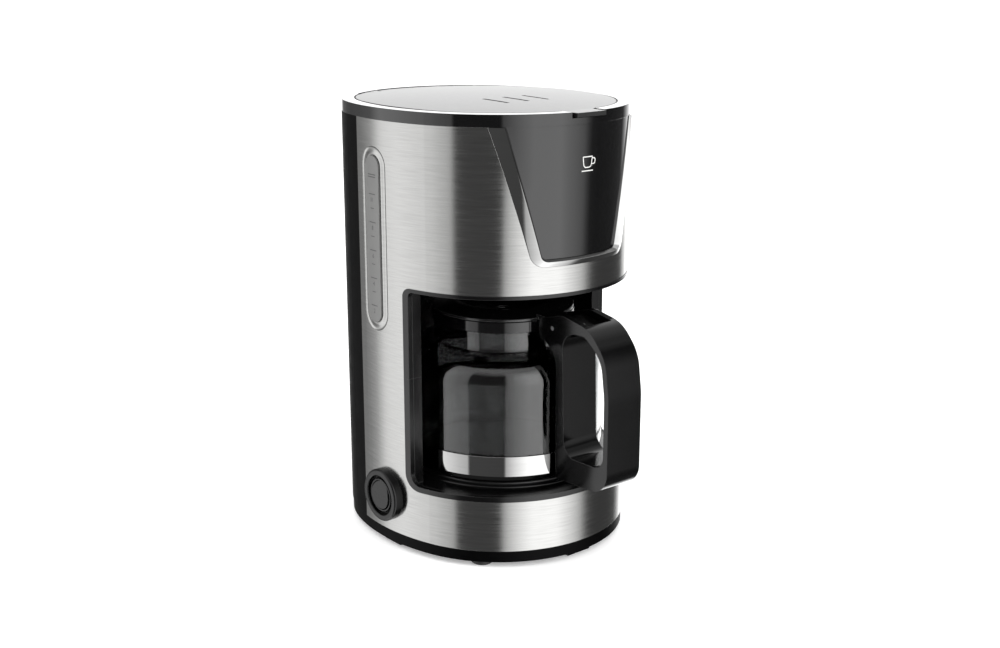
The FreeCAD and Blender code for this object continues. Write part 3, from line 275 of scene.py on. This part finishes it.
BRUSH = (45, 45, 1100)
# edge_gain in the black plastics, rubber and enamel below paints a highlight along their edges.
MATERIALS = {
    "steel": finish_material(
        "steel", (0.27, 0.27, 0.265), 0.2, metallic=1.0, tint=0.07, rough_tint=0.04, mottle=BRUSH,
        grain=(90, 90, 2600), grain_depth=0.00002, anisotropic=0.55, edge=0.0002),
    "trim_steel": finish_material(
        "trim_steel", (0.3, 0.3, 0.297), 0.05, metallic=1.0, tint=0.03, rough_tint=0.01,
        mottle=BRUSH, grain=(120, 120, 2600), grain_depth=0.000005),
    "black_gloss": finish_material(
        "black_gloss", (0.002, 0.002, 0.0022), 0.07, tint=0.25, rough_tint=0.02,
        mottle=(35, 35, 35), grain=(90, 90, 90), grain_depth=0.00001, edge=0.0003),
    "handle_gloss": finish_material(
        "handle_gloss", (0.0015, 0.0015, 0.0016), 0.13, tint=0.2, rough_tint=0.02,
        mottle=(50, 50, 50), grain=(1800, 1800, 1800), grain_depth=0.000003, edge=0.0006,
        edge_gain=0.02, ior=1.3),
    "black_satin": finish_material(
        "black_satin", (0.0015, 0.0015, 0.0016), 0.22, tint=0.2, rough_tint=0.03,
        mottle=(80, 80, 80), grain=(2200, 2200, 2200), grain_depth=0.000006, edge=0.0004,
        edge_gain=0.03, ior=1.36),
    "lid_satin": finish_material(
        "lid_satin", (0.006, 0.006, 0.0062), 0.3, tint=0.15, rough_tint=0.006,
        mottle=(300, 300, 300), grain=(2500, 2500, 2500), grain_depth=0.000008, edge=0.0004),
    "black_matte": finish_material(
        "black_matte", (0.001, 0.001, 0.0011), 0.42, tint=0.2, rough_tint=0.05,
        mottle=(90, 90, 90), grain=(1600, 1600, 1600), grain_depth=0.00002, edge=0.0004,
        edge_gain=0.008, ior=1.1),
    "grey_plastic": finish_material(
        "grey_plastic", (0.3, 0.31, 0.32), 0.42, grain_depth=0.00001, edge=0.0004),
    "white_plastic": finish_material(
        "white_plastic", (0.68, 0.68, 0.66), 0.4, tint=0.04, grain_depth=0.00001, edge=0.0004),
    "clear_plastic": finish_material(
        "clear_plastic", (0.75, 0.78, 0.79), 0.12, tint=0.03, transmission=0.9, ior=1.2,
        alpha=0.6, grain_depth=0.000006),
    "gauge_pane": finish_material(
        "gauge_pane", (0.12, 0.12, 0.117), 0.4, tint=0.05, grain=(2400, 2400, 2400),
        grain_depth=0.00001, edge=0.0003, coat=0.2),
    "print": finish_material("print", (0.03, 0.03, 0.03), 0.5, tint=0.2),
    # the large edge_gain here paints the highlights along the rim of the carafe's lid
    "carafe_satin": finish_material(
        "carafe_satin", (0.004, 0.004, 0.0042), 0.18, tint=0.2, rough_tint=0.03,
        mottle=(80, 80, 80), grain=(2200, 2200, 2200), grain_depth=0.000006, edge=0.0008,
        edge_gain=0.07, ior=1.5),
    # near-black, hardly reflecting strip that paints the shadow in the gap round the lid
    "shadow_strip": finish_material("shadow_strip", (0.004, 0.004, 0.004), 0.7, tint=0.2, ior=1.05),
    "glass": finish_material(
        "glass", (0.42, 0.43, 0.43), 0.005, tint=0.01, rough_tint=0.002, transmission=1.0,
        ior=1.5, mottle=(25, 25, 25)),
    "plate_enamel": finish_material(
        "plate_enamel", (0.006, 0.006, 0.006), 0.34, tint=0.3, grain=(5000, 5000, 5000),
        grain_depth=0.00002, edge=0.0004, edge_gain=0.01),
    "aluminium": finish_material(
        "aluminium", (0.55, 0.55, 0.56), 0.38, metallic=1.0, grain_depth=0.00003),
    "screw_steel": finish_material(
        "screw_steel", (0.22, 0.22, 0.23), 0.34, metallic=1.0, grain=(600, 600, 600),
        grain_depth=0.00001, edge=0.0002),
    "rubber": finish_material(
        "rubber", (0.008, 0.008, 0.008), 0.65, tint=0.2, grain_depth=0.00004, edge=0.0005,
        edge_gain=0.01),
    "silicone": finish_material(
        "silicone", (0.62, 0.6, 0.55), 0.45, tint=0.05, transmission=0.25, grain_depth=0.00001),
    "mesh": woven_material("mesh", (0.42, 0.42, 0.42), 0.0007),
}

# nodes whose finish differs from the plain one of their slot
SPECIAL = {"carafe_lid": "carafe_satin", "carafe_handle": "handle_gloss", "lid": "lid_satin",
           "gauge_window": "gauge_pane", "switch_bezel": "handle_gloss",
           "switch_rocker": "handle_gloss"}


def dress(piece, material):
    """Gives a piece one material on all of its faces."""
    piece.data.materials.clear()
    piece.data.materials.append(MATERIALS[material])


for entry in frame["record"]["subparts"]:
    dress(frame["nodes"][entry["node"]], SPECIAL.get(entry["node"], entry["material_slot"]))

# ------------------------------------------------------------------ trim of the front panel
# Three outlines on the front, each as the corners of its left half: the panel's edge, the crest
# of the trim, and its outer edge. The section between them is a deep bright inner facet and a
# wide outer facet that falls back to the skin.

TRIM_TOP = 291.9
TRIM_HEIGHT = 85
TRIM_SINK_TOP = 0.35
TRIM_SINK_RUN = 1.93
TRIM_LINES = {"inner": ((53.75, TRIM_TOP), (32.3, 206.95), 4.0),
              "crest": ((55.1, TRIM_TOP), (33.75, 205.75), 5.3),
              "outer": ((62.4, TRIM_TOP), (39.0, 202.4), 10.0)}


def trim_line(key):
    """The full outline of one of the trim's three lines, as points (x, z) in metres."""
    (top_x, top_z), (low_x, low_z), radius = TRIM_LINES[key]
    corners = [(-top_x, top_z, 0), (-low_x, low_z, radius), (low_x, low_z, radius),
               (top_x, top_z, 0)]
    path = rounded_path([tuple(value * MM for value in corner) for corner in corners], 8)
    return subdivide(path, [24] + [1] * 8 + [16] + [1] * 8 + [24])


def panel_trim():
    """Bright border of the black panel, in one loft round three sides."""
    lines = [trim_line(key) for key in ("inner", "crest", "outer")]
    rings = []
    for inner, crest, outer in zip(*lines):
        sink = -(TRIM_SINK_TOP + TRIM_SINK_RUN * (TRIM_TOP - inner.y / MM) / TRIM_HEIGHT) * MM
        near_inner = inner.lerp(crest, 0.12)
        near_crest = crest.lerp(inner, 0.1)
        past_crest = crest.lerp(outer, 0.1)
        near_outer = outer.lerp(crest, 0.08)
        section = [(inner, sink - 1.2 * MM), (inner, sink - 0.3 * MM),
                   (near_inner, sink - 0.1 * MM), (near_crest, 1.15 * MM), (crest, 1.3 * MM),
                   (past_crest, 1.2 * MM), (near_outer, 0.14 * MM), (outer, 0.02 * MM),
                   (outer, -1.0 * MM)]
        rings.append([on_front(point.x, point.y, lift) for point, lift in section])
    piece = lofted("panel_border", rings, "housing")
    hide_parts("panel_trim")
    dress(piece, "trim_steel")


panel_trim()

# ------------------------------------------------------------------ cup mark on the panel
# The panel lies a little inside the skin and sinks with a small taper towards its foot.

PANEL_INSET = 0.3 * MM
PANEL_SLOPE = math.tan(math.radians(1.3))
PANEL_TOP = 292.5 * MM
PRINT_THICK = 0.05 * MM


def on_panel(point, lift):
    """Point (x, z) over the face of the panel."""
    sink = PANEL_INSET + PANEL_SLOPE * (PANEL_TOP - point.y)
    return on_front(point.x, point.y, lift - sink)


def panel_stroke(name, corners, half_width=0.35 * MM):
    """Printed line on the panel through corners (x, z, radius) in millimetres."""
    path = rounded_path([tuple(value * MM for value in corner) for corner in corners], 6)
    path = subdivide(path, [8] * (len(path) - 1))
    rings = []
    for k, point in enumerate(path):
        along = (path[min(k + 1, len(path) - 1)] - path[max(k - 1, 0)]).normalized()
        across = Vector((-along.y, along.x)) * half_width
        low, high = point - across, point + across
        rings.append([on_panel(low, 0.0), on_panel(high, 0.0), on_panel(high, PRINT_THICK),
                      on_panel(low, PRINT_THICK)])
    dress(lofted(name, rings, "housing"), "white_plastic")


panel_stroke("cup_wall", [(-4.5, 271.0, 0), (-3.6, 264.2, 2.2), (2.6, 264.2, 2.2), (3.5, 271.0, 0)])
panel_stroke("cup_rim", [(-4.8, 271.0, 0), (3.8, 271.0, 0)])
panel_stroke("cup_handle", [(3.4, 269.9, 0), (6.4, 269.9, 1.4), (6.0, 266.2, 1.4), (3.0, 266.2, 0)])
panel_stroke("cup_saucer", [(-5.4, 262.0, 0), (4.4, 262.0, 0)])

# ------------------------------------------------------------------ painted shadow in the gap round the lid

def oval_point(inset, turn):
    """Point of the body's plan, moved inwards by inset, at a share of one turn."""
    tilt = math.atan2(FRONT_CENTRE, SIDE_CENTRE)
    angle = 2 * math.pi * turn
    folded = abs(math.remainder(angle, math.pi))
    side = folded < tilt
    radius = (SIDE_RADIUS if side else FRONT_RADIUS) - inset
    if side:
        centre = Vector((-SIDE_CENTRE if math.cos(angle) > 0 else SIDE_CENTRE, 0, 0))
    else:
        centre = Vector((0, FRONT_CENTRE if math.sin(angle) > 0 else -FRONT_CENTRE, 0))
    return centre + radius * Vector((math.cos(angle), math.sin(angle), 0))


# the dark strip of painted shadow stops at the finger recess in front and at the hinge relief behind
SHADOW_STRIP_FRONT = 14.5 * MM
SHADOW_STRIP_REAR = 52.5 * MM
SHADOW_STRIP_OUTER = 8.9
SHADOW_STRIP_INNER = 9.45
SHADOW_STRIP_THICK = 0.05
SHADOW_STRIP_STEPS = 240


def lid_shadow_strip(name, side):
    """Thin dark strip on the inner edge of the ring, along one side, that paints the shadow in the
    gap round the lid.
    """
    section = [(SHADOW_STRIP_OUTER, 0.0), (SHADOW_STRIP_OUTER, SHADOW_STRIP_THICK), (SHADOW_STRIP_INNER, SHADOW_STRIP_THICK),
               (SHADOW_STRIP_INNER, 0.0)]
    top = Vector((MIDDLE.x, MIDDLE.y, ring_high.z))
    rings = []
    for step in range(-SHADOW_STRIP_STEPS // 4, SHADOW_STRIP_STEPS // 4 + 1):
        points = [oval_point(inset * MM, step / SHADOW_STRIP_STEPS) for inset, _ in section]
        if points[0].x < (SHADOW_STRIP_REAR if step > 0 else SHADOW_STRIP_FRONT):
            continue
        rings.append([top + Vector((side * point.x, point.y, lift * MM))
                      for point, (_, lift) in zip(points, section)])
    dress(lofted(name, rings, "housing"), "shadow_strip")


lid_shadow_strip("lid_shadow_strip_right", 1)
lid_shadow_strip("lid_shadow_strip_left", -1)

# ------------------------------------------------------------------ water gauge
# An upright slot with round ends. The embossed border is lofted round it, and the scale is
# printed on the pane's outer face.

pane_low, pane_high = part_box("gauge_window")
PANE_Y = (pane_low.y + pane_high.y) / 2 - MIDDLE.y
PANE_HALF = (pane_high.y - pane_low.y) / 2
PANE_LOW = pane_low.z - MIDDLE.z
PANE_HIGH = pane_high.z - MIDDLE.z
PANE_LIFT = 1.2 * MM


def slot_outline(grow):
    """Points (y, z) of the slot, grown by grow all round."""
    radius = PANE_HALF + grow
    points = []
    for centre_z, start in ((PANE_HIGH - PANE_HALF, 0), (PANE_LOW + PANE_HALF, math.pi)):
        for step in range(25):
            angle = start + math.pi * step / 24
            points.append((PANE_Y + radius * math.cos(angle), centre_z + radius * math.sin(angle)))
        side = -1 if start == 0 else 1
        for step in range(1, 20):
            travel = (PANE_HIGH - PANE_LOW - 2 * PANE_HALF) * step / 20
            height = (PANE_HIGH - PANE_HALF - travel if start == 0
                      else PANE_LOW + PANE_HALF + travel)
            points.append((PANE_Y + side * radius, height))
    return points


def gauge_border():
    """Pressed steel border: a rounded rim at the pane and a shallow channel outside it."""
    section = [(0.06, -1.15), (0.06, -0.1), (0.25, 0.1), (0.8, 0.18), (1.7, 0.12), (2.6, -0.22),
               (3.5, -0.5), (4.5, -0.6), (5.2, -0.5), (5.6, -0.25), (5.93, 0.0), (5.93, -1.15)]
    outlines = [slot_outline(grow * MM) for grow, _ in section]
    rings = []
    for i in range(len(outlines[0])):
        rings.append([on_left(*outlines[j][i], lift * MM) for j, (_, lift) in enumerate(section)])
    piece = lofted("gauge_border", rings, "housing", closed_path=True)
    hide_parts("gauge_surround")
    dress(piece, "steel")


def gauge_tick(name, z, half_width, half_height, shift=0.0):
    """One printed line of the scale."""
    rings = []
    for step in range(5):
        y = PANE_Y + shift + half_width * (step / 2 - 1)
        rings.append([on_left(y, z - half_height, PANE_LIFT - 0.02 * MM),
                      on_left(y, z + half_height, PANE_LIFT - 0.02 * MM),
                      on_left(y, z + half_height, PANE_LIFT + 0.03 * MM),
                      on_left(y, z - half_height, PANE_LIFT + 0.03 * MM)])
    dress(lofted(name, rings, "housing"), "print")


def gauge_number(name, text, z):
    """A small printed number beside a line of the scale."""
    curve = bpy.data.curves.new(name, "FONT")
    curve.body = text
    curve.size = 4.2 * MM
    curve.extrude = 0.02 * MM
    curve.align_x = "CENTER"
    curve.align_y = "CENTER"
    piece = bpy.data.objects.new(name, curve)
    bpy.context.scene.collection.objects.link(piece)
    place = on_left(PANE_Y, z, PANE_LIFT)
    piece.matrix_world = Matrix(((0, 0, -1, place.x), (-1, 0, 0, place.y), (0, 1, 0, place.z),
                                 (0, 0, 0, 1)))
    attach(piece, "housing")
    piece.data.materials.append(MATERIALS["print"])


GAUGE_LINES = 5
FIRST_LINE = 11.6
LINE_PITCH = 18.9
NUMBER_DROP = 4.0 * MM

gauge_border()
for row in range(GAUGE_LINES):
    height = PANE_LOW + (FIRST_LINE + LINE_PITCH * row) * MM
    gauge_tick(f"gauge_line_{row}", height, 3.6 * MM, 0.28 * MM)
    gauge_number(f"gauge_number_{row}", str(2 + 2 * row), height - NUMBER_DROP)
    if row < GAUGE_LINES - 1:
        gauge_tick(f"gauge_half_{row}", height + 9.45 * MM, 1.9 * MM, 0.25 * MM)
for row in range(2):
    gauge_tick(f"gauge_top_{row}", PANE_HIGH - (12.6 + 1.6 * row) * MM, 4.2 * MM, 0.3 * MM)

# ------------------------------------------------------------------ floor, studio and camera

FLOOR_RADIUS = 30
FLOOR_GLOW = 0.3
EYE = Vector((-609.8, -743.4, 398.6)) * MM
TARGET = Vector((6.4, -9.0, 139.8)) * MM


def floor():
    """Pale floor that mirror-like pieces don't pick up, so that they show the softboxes."""
    mesh_maker = bmesh.new()
    bmesh.ops.create_circle(mesh_maker, cap_ends=True, radius=FLOOR_RADIUS, segments=96)
    mesh = bpy.data.meshes.new("floor")
    mesh_maker.to_mesh(mesh)
    mesh_maker.free()
    plane = bpy.data.objects.new("floor", mesh)
    bpy.context.scene.collection.objects.link(plane)
    plane.location.z = CAD_BOX[0].z
    plane.visible_glossy = False
    surface = finish_material("floor", (0.93, 0.93, 0.93), 0.7, tint=0.01, mottle=(3, 3, 3))
    shader = surface.node_tree.nodes["Principled BSDF"]
    shader.inputs["Emission Color"].default_value = (1.0, 1.0, 1.0, 1.0)
    shader.inputs["Emission Strength"].default_value = FLOOR_GLOW
    plane.data.materials.append(surface)


# The overhead light fades in between these heights of a direction's unit vector.
OVERHEAD_LEVEL = 0.4
OVERHEAD_START = 0.55
OVERHEAD_FULL = 0.8
SURROUND_LEVEL = 0.98

# brightness of the studio round the object, by plan angle in degrees from +X towards +Y
STUDIO = [(-180, 1.55), (-171, 1.3), (-169.6, 0.16), (-128.5, 0.14), (-126.5, 1.25),
          (-117, 2.2), (-109, 2.9), (-100, 3.6), (-75, 3.6), (-67, 2.8), (-59, 2.2), (-51, 1.5),
          (-46, 0.6), (-42, 0.2), (-34, 0.12), (-10, 0.12), (6, 0.16), (14, 1.2), (23, 2.3),
          (34, 2.6), (46, 2.3), (64, 2.1), (76, 0.3), (96, 0.3), (108, 0.5), (120, 0.9),
          (129, 2.3), (142, 2.55), (152, 2.4), (167, 2.0), (179, 1.55)]
STUDIO_PEAK = 3.6


def studio():
    """Ring of soft panels with dark gaps between them, an even top, and a white surround."""
    world = bpy.data.worlds.new("studio")
    bpy.context.scene.world = world
    world.use_nodes = True
    tree = world.node_tree
    place = node(tree, "TexCoord")
    split = node(tree, "SeparateXYZ")
    tree.links.new(place.outputs["Generated"], split.inputs["Vector"])
    angle = node(tree, "Math", operation="ARCTAN2")
    tree.links.new(split.outputs["Y"], angle.inputs[0])
    tree.links.new(split.outputs["X"], angle.inputs[1])
    ramp = node(tree, "ValToRGB")
    stops = ramp.color_ramp.elements
    stops.remove(stops[1])
    for row, (degrees, level) in enumerate(STUDIO):
        stop = stops.new((degrees + 180) / 360) if row else stops[0]
        shade = level / STUDIO_PEAK
        stop.color = (shade, shade, shade, 1.0)
    tree.links.new(ranged(tree, angle.outputs["Value"], 0.0, 1.0, -math.pi, math.pi),
                   ramp.inputs["Fac"])
    overhead = node(tree, "Mix", data_type="RGBA")
    overhead.clamp_factor = True
    overhead.inputs[7].default_value = (OVERHEAD_LEVEL, OVERHEAD_LEVEL, OVERHEAD_LEVEL, 1.0)
    tree.links.new(ranged(tree, split.outputs["Z"], 0.0, 1.0, OVERHEAD_START, OVERHEAD_FULL),
                   overhead.inputs["Factor"])
    tree.links.new(ramp.outputs["Color"], overhead.inputs[6])
    panels = tree.nodes["Background"]
    panels.inputs["Strength"].default_value = STUDIO_PEAK
    tree.links.new(overhead.outputs[2], panels.inputs["Color"])
    surround = node(tree, "Background")
    surround.inputs["Color"].default_value = (SURROUND_LEVEL, SURROUND_LEVEL, SURROUND_LEVEL, 1.0)
    rays = node(tree, "LightPath")
    choice = node(tree, "MixShader")
    tree.links.new(rays.outputs["Is Camera Ray"], choice.inputs["Fac"])
    tree.links.new(panels.outputs["Background"], choice.inputs[1])
    tree.links.new(surround.outputs["Background"], choice.inputs[2])
    tree.links.new(choice.outputs["Shader"], tree.nodes["World Output"].inputs["Surface"])


def camera():
    """Camera at the photograph's angle: 40 degrees to the left of the front, 15 degrees down."""
    data = bpy.data.cameras.new("camera")
    data.lens = 50
    data.sensor_width = 36
    eye = bpy.data.objects.new("camera", data)
    bpy.context.scene.collection.objects.link(eye)
    eye.location = MIDDLE + EYE
    eye.rotation_euler = (MIDDLE + TARGET - eye.location).to_track_quat("-Z", "Y").to_euler()
    bpy.context.scene.camera = eye


floor()
studio()
camera()
bpy.context.scene.view_settings.view_transform = "Standard"
